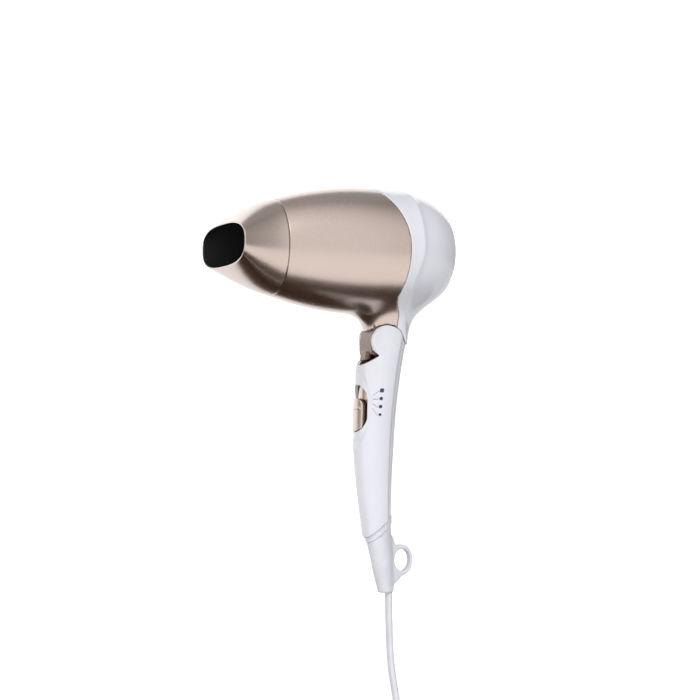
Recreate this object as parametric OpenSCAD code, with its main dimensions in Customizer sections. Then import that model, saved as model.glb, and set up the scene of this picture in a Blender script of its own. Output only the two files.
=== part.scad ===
// Folding travel hair dryer: barrel with a pull-off concentrator, a fan and heater train,
// a hinged handle with a slide switch, a hang loop and a flat two-core mains lead.
// The origin is the middle of the grip. +Z runs up the handle and the nozzle points along -X.

/* [Barrel] */
// Height of the barrel axis above the middle of the grip
axis_z = 110; // [108:1:114]
// Largest radius of the barrel
barrel_r = 35.3; // [34.5:0.1:35.5]
// Radius of the curve that the barrel's side follows
barrel_curve = 174; // [170:1:180]
// Wall of the barrel and of the rear housing
wall = 2; // [1.6:0.1:2]

/* [Nozzle] */
// Length of the concentrator nozzle
nozzle_l = 28.3; // [27:0.1:30]
// Half width of the nozzle's mouth, outside
mouth_w = 33.5; // [30:0.5:34]
// Half height of the nozzle's mouth, outside
mouth_h = 12; // [11:0.1:13]

/* [Handle] */
// Radius of the handle at the middle of the grip
grip_r = 11.4; // [11.2:0.1:11.8]
// Wall of the handle shells
shell = 1.8; // [1.6:0.1:2]
// Height of the slide switch's slot
slot_l = 26; // [25:0.5:27]
// Width of the slide switch's slot
slot_w = 16.5; // [15:0.5:17]
// Travel from one switch position to the next
switch_step = 2.4; // [2:0.1:2.5]

/* [Fold] */
// Distance of the fold pivot behind the grip's middle
pivot_x = 1.5; // [1:0.5:2]
// Height of the fold pivot above the middle of the grip
pivot_z = 59.5; // [59:0.5:60]
// Radius of the hinge pin
pin_r = 2; // [1.8:0.1:2]

/* [Lead] */
// Width of the flat mains lead
lead_w = 5.4; // [5.2:0.1:5.6]
// Thickness of the flat mains lead
lead_t = 3.3; // [3.1:0.1:3.5]
// Length of the straight runs of the folded hank
hank_run = 90; // [85:1:95]

/* [Hidden] */
$fn = 64;

gold = [0.78, 0.70, 0.66];
white = [0.93, 0.93, 0.96];
metal = [0.75, 0.76, 0.78];
dark = [0.12, 0.12, 0.13];
eps = 0.01;

// Stations along the barrel axis
fat_x = -8;
mouth_x = -90.8;
front_x = mouth_x + nozzle_l;
seam_x = 5.6;
crease_x = 14;
tail_x = 39.3;
tail_r = 22.9;
socket_r = 25;
socket_end_x = front_x + 10;
grille_t = 2.4;
shield_r = 25;
shield_end_x = -14.5;
duct_r = 28.4;
duct_end_x = 25;
flange_x = 24.9;
motor_r = 12;
motor_x = -14;
motor_l = 25;
fan_r = 26.4;
fan_x = 13;
fan_l = 10;
shaft_r = 1;
screen_x = 30.6;
screen_r = 26.9;

// Fold hinge
tongue_w = 8.6;
cheek_gap = 9;
cheek_face = 11.7;
cheek_top_z = 67.9;
cheek_r = 9;
knuckle_r = 7;
pin_l = 23;
detent_r = 4.4;
detent_ball_r = 1.3;

// Handle
handle_top = 68;
handle_low = -56;
split_angle = 125;
fork_slope = 33;
fork_line = [[-40, 45.5 - 28 * tan(fork_slope)], [-3.1, 45.5 + 8.9 * tan(fork_slope)]];
tail_slope = 40;
tail_z = -43.5;
slider_z = 22.5;
slider_travel = 3 * switch_step;
shield_gap = 1.05;
ridge_t = 0.6;
mark_top_z = 32.3;
mark_step = 4.45;
mark_angle = 80;

// Strain relief and lead
relief_top_z = -53;
relief_end_z = -80;
relief_end_x = 6.2;
hank_r = 22;
hank_top_z = -152;
hank_y = 22;
hank_x = 10;
hank_waist = 3;
tie_l = 14;
hank_mid_z = hank_top_z - hank_r - hank_run / 2;
hank_low_z = hank_top_z - 2 * hank_r - hank_run;
tail_l = 24;
plug_top_z = hank_low_z - tail_l;
plug_l = 44;
plug_pin_gap = 19;
plug_pin_r = 2.4;
plug_pin_l = 19;

// Points that the visible lead passes from the strain relief down to the hank: [x, y, z]
lead_route = [
  [8, 0, relief_end_z], [8, 0, -86], [8.2, 0, -96], [8.6, 0, -108], [9, -1, -120],
  [9.5, -4, -132], [10, -7, -143], [10, -8, -152]
];

// Outer radius of the barrel and of the rear housing at station x
function side_r(x) = barrel_r - barrel_curve + sqrt(pow(barrel_curve, 2) - pow(x - fat_x, 2));

// Radius of the rear housing behind its crease, falling along an even curve
function rear_r(x) = let (t = (x - crease_x) / (tail_x - crease_x))
  side_r(crease_x) - 2.4 * t - (side_r(crease_x) - 2.4 - tail_r) * pow(t, 2.4);

// Station of the seam between the barrel and the rear housing at a height above the axis
function seam_at(h) = h > 0 ? seam_x - 0.0095 * h * h : (h > -26 ? seam_x - 0.0035 * h * h : 7.5);

// Centre line and radius of the handle at height z
function spine_x(z) = -1.4 + (z > 0 ? 0.0017 : 0.0009) * z * z;
function handle_r(z) = grip_r + (z > 0 ? 0.045 * z - 0.0003 * z * z : 0.07 * z);

// Solid between cross-sections that all have the same number of points
module loft(rings) {
  n = len(rings[0]);
  m = len(rings);
  side = [
    for (k = [0:m - 2], i = [0:n - 1]) let (j = (i + 1) % n)
      each [[k * n + i, k * n + j, (k + 1) * n + j], [k * n + i, (k + 1) * n + j, (k + 1) * n + i]]
  ];
  caps = [[for (i = [n - 1:-1:0]) i], [for (i = [0:n - 1]) (m - 1) * n + i]];
  polyhedron(points = [for (r = rings) each r], faces = concat(caps, side), convexity = 6);
}

// Solid turned about the barrel axis from [station, radius] points
module turned(profile, fn = 96) {
  translate([0, 0, axis_z]) rotate([0, 90, 0]) rotate_extrude($fn = fn)
    polygon([for (p = profile) [p[1], p[0]]]);
}

// Rod along X, centred on the barrel axis unless moved
module rod_x(x, l, r, y = 0, h = 0, fn = 48) {
  translate([x, y, axis_z + h]) rotate([0, 90, 0]) cylinder(h = l, r = r, $fn = fn);
}

// Rod along Y through the fold pivot
module pivot_rod(r, half, fn = 64) {
  translate([pivot_x, half, pivot_z]) rotate([90, 0, 0]) cylinder(h = 2 * half, r = r, $fn = fn);
}

// Slab seen from the side: a 2-D outline in X and Z, as thick as 2 * half about Y = 0
module side_slab(half) {
  translate([0, half, 0]) rotate([90, 0, 0]) linear_extrude(2 * half) children();
}

// Closed tube through the points of a route, with sides of a stretched circle
module route_tube(route, rx, ry, sides) {
  rings = [for (p = route) [for (i = [0:sides - 1]) let (a = 360 * i / sides)
    [p[0] + rx * cos(a), p[1] - ry * sin(a), p[2]]]];
  loft(rings);
}

// ---- Nozzle ----

// Cross-section of the nozzle; t is 0 at the barrel and 1 at the mouth
function mouth_section(t, inset) = let (
    w = side_r(front_x) + (mouth_w - side_r(front_x)) * pow(max(t, 0), 1.5) - inset,
    h = side_r(front_x) - 5.6 * t - (side_r(front_x) - 5.6 - mouth_h) * t * t - inset,
    e = 2 / (2 + 1.1 * t * t),
    x = front_x - nozzle_l * t
  ) [for (i = [0:47]) let (a = 7.5 * i + 3.75)
    [x, w * sign(cos(a)) * pow(abs(cos(a)), e), axis_z + h * sign(sin(a)) * pow(abs(sin(a)), e)]];

module nozzle() {
  steps = 8;
  lip = 0.9;
  color(gold) {
    difference() {
      loft([for (k = [0:steps]) mouth_section(k / steps, 0)]);
      loft([for (k = [-1:steps + 1]) mouth_section(k / steps, lip + 0.5 * (1 - k / steps))]);
    }
    turned([[front_x - 3, 22.6], [front_x - 3, 25.8], [front_x, 25.8], [front_x, 23.8],
      [front_x + 2, 23.8], [front_x + 2, 22.6]]);
  }
}

// Sprung ring on the nozzle's tail that snaps into the barrel and lets the nozzle turn
module nozzle_collar() {
  color(dark) turned([[front_x + 2.2, 22.6], [front_x + 2.2, 24.4], [front_x + 8.5, 24.7],
    [front_x + 8.5, 22.6]]);
}

// ---- Barrel and rear housing ----

// Region in front of the seam, seen from the side, grown backwards by a gap
module front_region(gap = 0) {
  top = axis_z + 50;
  steps = 22;
  polygon(concat([[-120, 30], [-120, top]],
    [for (k = [0:steps]) let (h = 50 - 80 * k / steps) [seam_at(h) + gap, axis_z + h]],
    [[7.5 + gap, 30]]));
}

// Neck between barrel and hinge: [height, centre, half depth, half width]
neck_rings = [
  [62, 5.9, 12.9, 12.4], [66, 6.7, 13.3, 12.6], [69, 7.1, 14.6, 12.9], [72, 7.6, 16.6, 13.4],
  [75, 8.2, 19.4, 14.6], [78, 9, 22.8, 17], [84, 9, 24.5, 20]
];

function oval_ring(p, inset) = [for (i = [0:35]) let (a = 10 * i)
  [p[1] - (p[2] - inset) * cos(a), (p[3] - inset) * sin(a), p[0]]];

module neck_outer() {
  loft([for (p = neck_rings) oval_ring(p, 0)]);
}

module neck_inner() {
  low = concat([55], [for (i = [1:3]) neck_rings[0][i]]);
  loft(concat([oval_ring(low, wall)], [for (p = neck_rings) oval_ring(p, wall)]));
}

module skin_outside() {
  xs = [for (k = [0:12]) front_x + (crease_x - front_x) * k / 12];
  ts = [for (k = [1:8]) crease_x + (tail_x - crease_x) * k / 8];
  turned(concat([[front_x, 0]], [for (x = xs) [x, side_r(x)]], [for (x = ts) [x, rear_r(x)]],
    [[tail_x, 0]]));
}

module skin_inside() {
  xs = [for (k = [2:12]) front_x + (crease_x - front_x) * k / 12];
  ts = [for (k = [1:7]) crease_x + (tail_x - 1.6 - crease_x) * k / 7];
  turned(concat([[front_x - 5, 0], [front_x - 5, socket_r], [socket_end_x, socket_r],
    [socket_end_x, side_r(socket_end_x) - wall]],
    [for (x = xs) [x + 0.1, side_r(x) - wall]], [for (x = ts) [x, rear_r(x) - wall]],
    [[tail_x - 1.6, 21.4], [tail_x + 5, 21.4], [tail_x + 5, 0]]));
}

// Space that the handle's cheeks and rear edge sweep, seen from the side
module hinge_clearance() {
  polygon([[-20, 40], [-20, 65.5], [-4, 65.5], [pivot_x, pivot_z + cheek_r], [5.6, 68.4],
    [9.5, 66], [12, 62.5], [14, 59], [20, 57.3], [30, 57.3], [30, 40]]);
  translate([pivot_x, pivot_z]) circle(r = cheek_r + 0.35);
}

module head_skin() {
  difference() {
    union() {
      skin_outside();
      difference() {
        neck_outer();
        side_slab(40) hinge_clearance();
      }
    }
    skin_inside();
    neck_inner();
  }
}

// Knuckle and front block that turn between the handle's cheeks
module tongue_outline() {
  translate([pivot_x, pivot_z]) circle(r = knuckle_r);
  polygon([[-6, pivot_z - 7], [-5.2, pivot_z - 7.8], [pivot_x, pivot_z - 7.8],
    [pivot_x + knuckle_r - 0.4, pivot_z + 4], [pivot_x + 9, 72], [pivot_x + 9, 76], [-4.6, 76], [-4.6, 66],
    [-4.9, 60], [-5.4, 56]]);
}

module tongue_window() {
  polygon([[-3, 73.5], [-2.8, 66], [pivot_x - 3, pivot_z + 4.5], [pivot_x + 4.5, pivot_z + 4.5],
    [pivot_x + 7, 73.5], [pivot_x + 7, 90], [-3, 90]]);
}

// Narrow lip that carries the tongue's front down to the fork
module tongue_lip() {
  polygon([[-8, 49.2], [-6, 48.6], [-2, 50.6], [-2, 54], [-7.4, 54]]);
}

module barrel_shell() {
  color(gold) difference() {
    union() {
      intersection() {
        head_skin();
        side_slab(60) front_region();
      }
      side_slab(tongue_w) tongue_outline();
      side_slab(4.2) tongue_lip();
    }
    side_slab(tongue_w - 2.2) tongue_window();
    skin_inside();
    pivot_rod(pin_r + 0.05, 20);
    translate([pivot_x - detent_r, 20, pivot_z]) rotate([90, 0, 0])
      cylinder(h = 40, r = detent_ball_r + 0.1, $fn = 32);
  }
}

module rear_housing() {
  color(white) {
    difference() {
      head_skin();
      side_slab(60) front_region(0.12);
    }
    for (a = boss_angles) screw_boss(a);
  }
}

boss_r = 2.6;
boss_ring = 25.2;
boss_angles = [50, 130, 230, 310];

// Places its children on the ring of screws that joins the duct's flange to the housing
module on_boss_ring(a, x) {
  translate([0, 0, axis_z]) rotate([a, 0, 0]) translate([x, boss_ring, 0]) rotate([0, 90, 0])
    children();
}

module screw_boss(a) {
  on_boss_ring(a, flange_x + 1.25) difference() {
    cylinder(h = 3.8, r = boss_r, $fn = 32);
    translate([0, 0, -1]) cylinder(h = 6, r = 1.02, $fn = 32);
  }
}

module housing_screws() {
  color(metal) for (a = boss_angles) on_boss_ring(a, flange_x - 1.25) {
    cylinder(h = 1.2, r = 1.8, $fn = 32);
    translate([0, 0, 1.19]) cylinder(h = 4.6, r = 1, $fn = 32);
  }
}

// Domed intake grille: lands and ribs around ring slots
module rear_grille() {
  dome = 3.2;
  edge_r = 21.2;
  back = function(r) tail_x + dome * (1 - pow(r / edge_r, 2));
  color(white) {
    difference() {
      turned([[tail_x - 1.5, edge_r], [tail_x - 1.5, 0],
        for (k = [0:8]) let (r = edge_r * k / 8) [back(r) + 0.6, r]], 72);
      turned([[tail_x - 3, 0], for (k = [0:7]) let (r = 19.4 * k / 7) [back(r) - 1.1, r],
        [tail_x - 3, 19.4]], 72);
      difference() {
        for (r = [4.5:3.5:16]) turned([[tail_x - 3, r], [tail_x - 3, r + 2], [tail_x + 9, r + 2],
          [tail_x + 9, r]], 72);
        for (a = [0:60:300]) translate([0, 0, axis_z]) rotate([a, 0, 0])
          translate([tail_x - 5, -0.9, 0]) cube([20, 1.8, 30]);
      }
    }
  }
}

// Fine lint screen behind the grille
module intake_screen() {
  color(dark) turned([[screen_x, 0], [screen_x, screen_r], [screen_x + 0.4, screen_r],
    [screen_x + 0.4, 0]]);
}

// ---- Air and heat train ----

// Safety grille across the barrel's front
module outlet_grille() {
  x0 = socket_end_x + 0.05;
  color(dark) difference() {
    turned([[x0, 0], [x0, shield_r + 1], [x0 + grille_t, shield_r + 1], [x0 + grille_t, 0]]);
    difference() {
      for (r = [4:5:19]) turned([[x0 - 1, r], [x0 - 1, r + 4], [x0 + 5, r + 4], [x0 + 5, r]]);
      for (a = [0:45:315]) translate([0, 0, axis_z]) rotate([a, 0, 0])
        translate([x0 - 2, -0.6, 0]) cube([9, 1.2, 30]);
    }
  }
}

// Mica tube that keeps the heat off the barrel
module heat_shield() {
  x0 = socket_end_x + grille_t + 0.1;
  color([0.80, 0.74, 0.60]) turned([[x0, shield_r - 0.5], [x0, shield_r], [shield_end_x, shield_r],
    [shield_end_x, shield_r - 0.5]]);
}

cross_r = 20.6;
cross_t = 0.6;
cross_x = socket_end_x + grille_t + 2;
cross_l = shield_end_x - cross_x - 3;

// Two crossed mica boards
module heater_frame() {
  color([0.86, 0.82, 0.70]) for (a = [45, 135])
    translate([cross_x, 0, axis_z]) rotate([a, 0, 0]) translate([0, -cross_t / 2, -cross_r])
      cube([cross_l, cross_t, 2 * cross_r]);
}

// Turns of resistance wire on the boards' edges
module heating_coils() {
  turns = 7;
  wire = 0.7;
  pitch = (cross_l - 6) / (turns - 1);
  color([0.45, 0.43, 0.42]) for (k = [0:turns - 1])
    translate([cross_x + 3 + pitch * k, 0, axis_z]) rotate([0, 90, 0])
      rotate_extrude($fn = 64) translate([cross_r + wire + 0.05, 0]) circle(r = wire, $fn = 16);
}

module thermostat() {
  color(metal) translate([cross_x + cross_l - 10, 0, axis_z]) rotate([45, 0, 0])
    translate([0, cross_t / 2 + 0.02, 6]) cube([8, 2.6, 6]);
}

module thermal_fuse() {
  color([0.9, 0.9, 0.85]) translate([cross_x + cross_l - 14, 0, axis_z]) rotate([45, 0, 0])
    translate([0, -cross_t / 2 - 1.5, 9]) rotate([0, 90, 0]) cylinder(h = 9, r = 1.4, $fn = 32);
}

// Duct ring, guide vanes and the cup that holds the motor
module motor_mount() {
  cup_r = motor_r + 0.05;
  color([0.85, 0.85, 0.83]) difference() {
    union() {
      turned([[flange_x, boss_ring - 2.4], [flange_x, duct_r], [flange_x + 1.2, duct_r],
        [flange_x + 1.2, boss_ring - 2.4]]);
      turned([[motor_x, duct_r - 1.2], [motor_x, duct_r], [duct_end_x, duct_r],
        [duct_end_x, duct_r - 1.2]]);
      turned([[motor_x, cup_r], [motor_x, cup_r + 1.4], [motor_x + 22, cup_r + 1.4],
        [motor_x + 22, cup_r]]);
      for (a = [0:60:300]) translate([motor_x, 0, axis_z]) rotate([a, 0, 0])
        translate([0, -0.7, cup_r + 0.7]) cube([20, 1.4, duct_r - cup_r - 1.2]);
    }
    for (a = boss_angles) on_boss_ring(a, flange_x - 1) cylinder(h = 4, r = 1.05, $fn = 32);
  }
}

module motor() {
  color(metal) difference() {
    union() {
      rod_x(motor_x, motor_l, motor_r);
      rod_x(motor_x + motor_l - eps, 1, 3);
    }
    rod_x(motor_x + 4, 40, shaft_r + 0.05);
  }
}

module motor_shaft() {
  color([0.85, 0.85, 0.87]) rod_x(motor_x + 4.1, motor_l + 14, shaft_r);
}

// Axial fan with pitched blades
module fan() {
  blades = 7;
  hub_r = 9;
  color(dark) difference() {
    union() {
      rod_x(fan_x, fan_l, hub_r);
      for (k = [0:blades - 1]) translate([fan_x + fan_l / 2, 0, axis_z]) rotate([360 * k / blades, 0, 0])
        translate([0, 0, hub_r - 1]) rotate([0, 0, 42]) translate([-6, -0.6, 0])
          cube([12, 1.2, fan_r - hub_r + 0.5]);
    }
    rod_x(fan_x - 1, fan_l + 2, shaft_r + 0.02);
  }
}

// Insulated leads from the heater down into the neck
module head_wires() {
  color([0.7, 0.15, 0.12]) for (s = [-1, 1])
    route_tube([[1.5, s * 3, 70], [1.2, s * 3, 74], [0.8, s * 4, 79]], 0.8, 0.8, 8);
}

// ---- Fold hinge ----

module hinge_pin() {
  color(metal) pivot_rod(pin_r, pin_l / 2);
}

// Spring across the tongue that pushes a ball against each cheek
module detent_spring() {
  color(metal) translate([pivot_x - detent_r, tongue_w - 1.3, pivot_z]) rotate([90, 0, 0])
    cylinder(h = 2 * tongue_w - 2.6, r = 0.9, $fn = 24);
}

module detent_balls() {
  color(metal) for (s = [-1, 1])
    translate([pivot_x - detent_r, s * (tongue_w - 0.02), pivot_z]) sphere(r = detent_ball_r, $fn = 32);
}

// ---- Handle ----

// One C-shaped cross-section of a handle shell between two angles from the front
function shell_ring(z, a0, a1, r_out, r_in) = let (steps = 24) concat(
  [for (i = [0:steps]) let (a = a0 + (a1 - a0) * i / steps)
    [spine_x(z) - r_out * cos(a), r_out * sin(a), z]],
  [for (i = [steps:-1:0]) let (a = a0 + (a1 - a0) * i / steps)
    [spine_x(z) - r_in * cos(a), r_in * sin(a), z]]);

module shell_loft(a0, a1, t = shell, out = 0) {
  steps = 12;
  loft([for (k = [0:steps]) let (z = handle_low + (handle_top - handle_low) * k / steps)
    shell_ring(z, a0, a1, handle_r(z) + out, handle_r(z) - t)]);
}

module handle_solid() {
  steps = 12;
  loft([for (k = [0:steps]) let (z = handle_low + (handle_top - handle_low) * k / steps)
    [for (i = [0:35]) [spine_x(z) - handle_r(z) * cos(10 * i), handle_r(z) * sin(10 * i), z]]]);
}

// What lies below the slanted lower edge of the handle
module below_tail(gap = 0) {
  translate([0, 0, tail_z - gap]) rotate([0, -tail_slope, 0]) translate([-50, -50, -80]) cube([100, 100, 80]);
}

// Side outline that the shells keep: below the fork's slope, the cheek discs and the rear edge
module fork_keep() {
  polygon([[-40, -70], fork_line[0], fork_line[1], [5.6, 67.8], [8.9, 66], [11.2, 62.6], [13.4, 59], [19.4, 57],
    [40, 57], [40, -70]]);
}

module cheek_discs() {
  difference() {
    pivot_rod(cheek_r - 0.7, cheek_face);
    pivot_rod(cheek_r + 1, cheek_gap);
  }
}

// Gap between the cheeks, open to the front, that the tongue swings through
module fork_gap() {
  side_slab(cheek_gap) polygon([fork_line[0], fork_line[1], [fork_line[1][0], 80], [-40, 80]]);
  side_slab(cheek_gap) translate([-5, 48]) square([6, 32]);
}

// Stadium outline, tall along its second axis
module stadium(w, l) {
  for (s = [-1, 1]) translate([0, s * (l - w) / 2]) circle(d = w);
  square([w, l - w], center = true);
}

module slot_cut(grow = 0) {
  translate([-40, 0, slider_z]) rotate([90, 0, 90]) linear_extrude(38) stadium(slot_w + 2 * grow, slot_l + 2 * grow);
}

screw_zs = [0, -30];
handle_boss_r = 2.9;

// Boss from the front shell's wall back to the rear shell
module screw_post(z) {
  intersection() {
    handle_solid();
    translate([spine_x(z) - handle_r(z) + 0.5, 0, z]) rotate([0, 90, 0])
      cylinder(h = 1.3 * handle_r(z), r = handle_boss_r, $fn = 32);
  }
}

module screw_hole(z, r, from, l) {
  translate([spine_x(z) + from, 0, z]) rotate([0, 90, 0]) cylinder(h = l, r = r, $fn = 32);
}

module handle_front() {
  color(white) difference() {
    union() {
      intersection() {
        shell_loft(-split_angle, split_angle);
        side_slab(40) union() {
          fork_keep();
          intersection() {
            translate([pivot_x, pivot_z]) circle(r = cheek_r);
            translate([-40, 0]) square([80, cheek_top_z]);
          }
        }
      }
      cheek_discs();
      for (z = screw_zs) screw_post(z);
    }
    fork_gap();
    below_tail();
    slot_cut();
    for (s = [-1, 1]) {
      translate([pivot_x, s * 11.8, pivot_z]) rotate([s * 90, 0, 0]) cylinder(h = 6, r = pin_r + 0.01, $fn = 48);
      detent_track(s);
    }
    for (z = screw_zs) screw_hole(z, 1.27, -handle_r(z) + 3, 30);
  }
}

// Shallow ring in a cheek's inner face that the detent ball runs in
module detent_track(s) {
  translate([pivot_x, s * cheek_gap, pivot_z]) rotate([-s * 90, 0, 0]) translate([0, 0, -1])
    difference() {
      cylinder(h = 2.2, r = detent_r + detent_ball_r + 0.15, $fn = 64);
      translate([0, 0, -1]) cylinder(h = 5, r = detent_r - detent_ball_r - 0.15, $fn = 64);
    }
}

module handle_back() {
  color(white) difference() {
    intersection() {
      shell_loft(split_angle + 0.6, 360 - split_angle - 0.6);
      side_slab(40) fork_keep();
    }
    below_tail();
    for (z = screw_zs) {
      screw_hole(z, 1.27, 0, 30);
      screw_hole(z, 2.6, handle_r(z) - 0.9, 10);
    }
  }
}

module handle_screws() {
  color(metal) for (z = screw_zs) {
    screw_hole(z, 1.25, -handle_r(z) + 5, 2 * handle_r(z) - 5.8);
    screw_hole(z, 2.3, handle_r(z) - 0.85, 0.8);
  }
}

// Curved shield that always closes the slot, with a raised ridge for the thumb
module switch_slider() {
  z0 = slider_z - slot_l / 2 - 2;
  z1 = slider_z + slot_l / 2 + 2;
  shield = [for (k = [0:6]) let (z = z0 + (z1 - z0) * k / 6)
    shell_ring(z, -52, 52, handle_r(z) - shell - shield_gap, handle_r(z) - shell - shield_gap - 1.4)];
  color(gold) {
    loft(shield);
    difference() {
      intersection() {
        handle_solid();
        slot_slug();
      }
      translate([spine_x(0), 0, -30]) cylinder(h = 60, r = handle_r(0) - shell - shield_gap - 0.95);
    }
    translate([spine_x(0) - handle_r(0) - ridge_t, -5, slider_z - 0.9]) cube([2.2, 10, 1.8]);
  }
}

// The part of the slider that stands in the slot; it is shorter than the slot by its travel
module slot_slug() {
  l = slot_l - slider_travel - 0.6;
  translate([-40, 0, slider_z - (slot_l - l) / 2 + 0.3]) rotate([90, 0, 90]) linear_extrude(38)
    stadium(slot_w - 4.1, l);
}

module switch_body() {
  color(dark) translate([-5.2, -4.5, slider_z - 11]) cube([8, 9, 22]);
}

// Four printed position marks beside the slot
module switch_marks() {
  color([0.35, 0.36, 0.38]) for (k = [0:3]) let (z = mark_top_z - mark_step * k)
    translate([spine_x(z), 0, z]) rotate([0, 0, mark_angle - 90]) translate([0, -handle_r(z) - 0.1, 0])
      rotate([90, 0, 0]) cylinder(h = 0.15, r = k == 0 ? 1.1 : 0.9, $fn = 24);
}

module rectifier_board() {
  color([0.15, 0.4, 0.2]) translate([-5, -5, -22]) cube([1.2, 10, 14]);
}

module handle_wires() {
  color([0.2, 0.3, 0.6]) for (s = [-1, 1])
    route_tube([[4.2, s * 4.2, -24], [4.6, s * 4.2, -5], [5.2, s * 4.2, 14], [5.8, s * 4.2, 26]], 0.8, 0.8, 8);
}

clamp_z = -38;

// Bridge that grips the lead inside the handle
module cord_clamp() {
  color(white) difference() {
    translate([-1.2, -5.6, clamp_z - 3]) cube([2.4, 11.2, 6]);
    for (s = [-1, 1]) translate([-3, s * 4.2, clamp_z]) rotate([0, 90, 0]) cylinder(h = 8, r = 0.95, $fn = 32);
  }
}

module clamp_screws() {
  color(metal) for (s = [-1, 1]) translate([-3.4, s * 4.2, clamp_z]) rotate([0, 90, 0]) {
    cylinder(h = 4.65, r = 0.9, $fn = 32);
    translate([0, 0, 4.65]) cylinder(h = 0.9, r = 1.5, $fn = 32);
  }
}

// ---- Strain relief, lead and plug ----

// Height, centre and radius of the strain relief
relief_rings = [
  [relief_end_z, relief_end_x, 4.2], [-70.8, 4.7, 5.3], [-59.4, 3.3, 6.3],
  [relief_top_z, 2.3, 6.9], [-40, 1.1, 7.4]
];

loop_x = 15.6;
loop_z = -62;
loop_t = 5;

module strain_relief() {
  color(white) {
    intersection() {
      loft([for (p = relief_rings) [for (i = [0:27]) let (a = 360 * i / 28)
        [p[1] - p[2] * cos(a), p[2] * sin(a), p[0]]]]);
      below_tail(0.1);
    }
    side_slab(loop_t / 2) difference() {
      union() {
        translate([loop_x, loop_z]) stadium(12.8, 17);
        polygon([[4, -48], [9.6, -48.6], [11.2, -52.6], [13.6, -55.4], [16.2, -56], [16, -70], [13.4, -73.4],
          [10.6, -75.4], [9.4, -78], [5, -78]]);
      }
      translate([loop_x, loop_z]) stadium(9.4, 12);
    }
  }
}

module cord_lead() {
  color(white) route_tube(lead_route, lead_t / 2, lead_w / 2, 8);
}

// Outline of the folded hank: round ends and a waist under the tie
module hank_outline() {
  half = hank_run / 2;
  waist = function(h) hank_r - hank_waist * pow(cos(90 * h / half), 2);
  for (s = [-1, 1]) translate([hank_x, hank_mid_z + s * half]) circle(r = hank_r);
  polygon(concat([for (k = [-10:10]) let (h = half * k / 10) [hank_x + waist(h), hank_mid_z + h]],
    [for (k = [10:-1:-10]) let (h = half * k / 10) [hank_x - waist(h), hank_mid_z + h]]));
}

module cord_hank() {
  color(white) side_slab(hank_y / 2) hank_outline();
}

// Strap around the hank's waist
module cord_tie() {
  grow = 1.2;
  w = hank_r - hank_waist * pow(cos(90 * (tie_l / 2) / (hank_run / 2)), 2) + 0.05;
  color(dark) translate([hank_x, 0, hank_mid_z - tie_l / 2]) linear_extrude(tie_l) difference() {
    square([2 * (w + grow), hank_y + 2 * grow + 0.1], center = true);
    square([2 * w, hank_y + 0.1], center = true);
  }
}

module cord_tail() {
  color(white) route_tube([[hank_x, 0, hank_low_z], [hank_x, 0, hank_low_z - tail_l / 2],
    [hank_x, 0, plug_top_z]], lead_t / 2, lead_w / 2, 8);
}

// Flat contour plug; its pins point down
module plug_body() {
  neck_l = 14;
  color(white) translate([hank_x, 0, 0]) {
    translate([0, 0, plug_top_z - plug_l]) linear_extrude(plug_l - neck_l) plug_outline(13, 18);
    hull() {
      translate([0, 0, plug_top_z - neck_l - eps]) linear_extrude(eps) plug_outline(13, 18, 32);
      translate([0, 0, plug_top_z - neck_l + 6]) linear_extrude(eps) plug_outline(8, 11, 32);
    }
    translate([0, 0, plug_top_z - neck_l + 5]) linear_extrude(neck_l - 5) plug_outline(4.4, 5.6);
  }
}

module plug_outline(rx, ry, fn = 64) {
  for (s = [-1, 1]) translate([0, s * (ry - rx)]) circle(r = rx, $fn = fn);
  square([2 * rx, 2 * (ry - rx)], center = true);
}

module plug_pins() {
  color(metal) for (s = [-1, 1])
    translate([hank_x, s * plug_pin_gap / 2, plug_top_z - plug_l - plug_pin_l])
      cylinder(h = plug_pin_l, r = plug_pin_r, $fn = 48);
}

nozzle();
nozzle_collar();
barrel_shell();
rear_housing();
rear_grille();
intake_screen();
outlet_grille();
heat_shield();
heater_frame();
heating_coils();
thermostat();
thermal_fuse();
motor_mount();
motor();
motor_shaft();
fan();
housing_screws();
head_wires();
detent_spring();
detent_balls();
hinge_pin();
handle_front();
handle_back();
handle_screws();
switch_slider();
switch_body();
switch_marks();
rectifier_board();
handle_wires();
cord_clamp();
clamp_screws();
strain_relief();
cord_lead();
cord_hank();
cord_tie();
cord_tail();
plug_body();
plug_pins();
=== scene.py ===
"""Folding travel hair dryer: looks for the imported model, in the frame's metres."""
import math

import bpy
import numpy as np
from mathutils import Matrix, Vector


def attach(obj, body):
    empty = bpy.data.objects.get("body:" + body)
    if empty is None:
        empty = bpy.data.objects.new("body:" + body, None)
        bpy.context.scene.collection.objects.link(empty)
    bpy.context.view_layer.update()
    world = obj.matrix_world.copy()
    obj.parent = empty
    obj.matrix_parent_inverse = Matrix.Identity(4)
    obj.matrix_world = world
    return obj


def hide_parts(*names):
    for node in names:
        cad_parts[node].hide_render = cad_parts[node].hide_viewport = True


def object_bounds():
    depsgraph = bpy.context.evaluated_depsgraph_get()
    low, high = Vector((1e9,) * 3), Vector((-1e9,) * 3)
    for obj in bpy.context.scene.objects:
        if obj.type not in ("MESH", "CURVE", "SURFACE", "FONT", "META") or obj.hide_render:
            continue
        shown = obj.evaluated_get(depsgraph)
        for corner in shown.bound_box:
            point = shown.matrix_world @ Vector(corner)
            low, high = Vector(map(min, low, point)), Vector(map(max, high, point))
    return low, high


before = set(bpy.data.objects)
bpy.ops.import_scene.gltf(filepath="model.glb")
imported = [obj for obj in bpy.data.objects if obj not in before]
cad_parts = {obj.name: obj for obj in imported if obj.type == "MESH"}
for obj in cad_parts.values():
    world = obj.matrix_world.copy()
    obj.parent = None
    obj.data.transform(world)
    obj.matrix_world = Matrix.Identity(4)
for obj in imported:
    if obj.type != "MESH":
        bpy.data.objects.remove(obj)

CAD_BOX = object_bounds()
MM = 0.001

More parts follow.
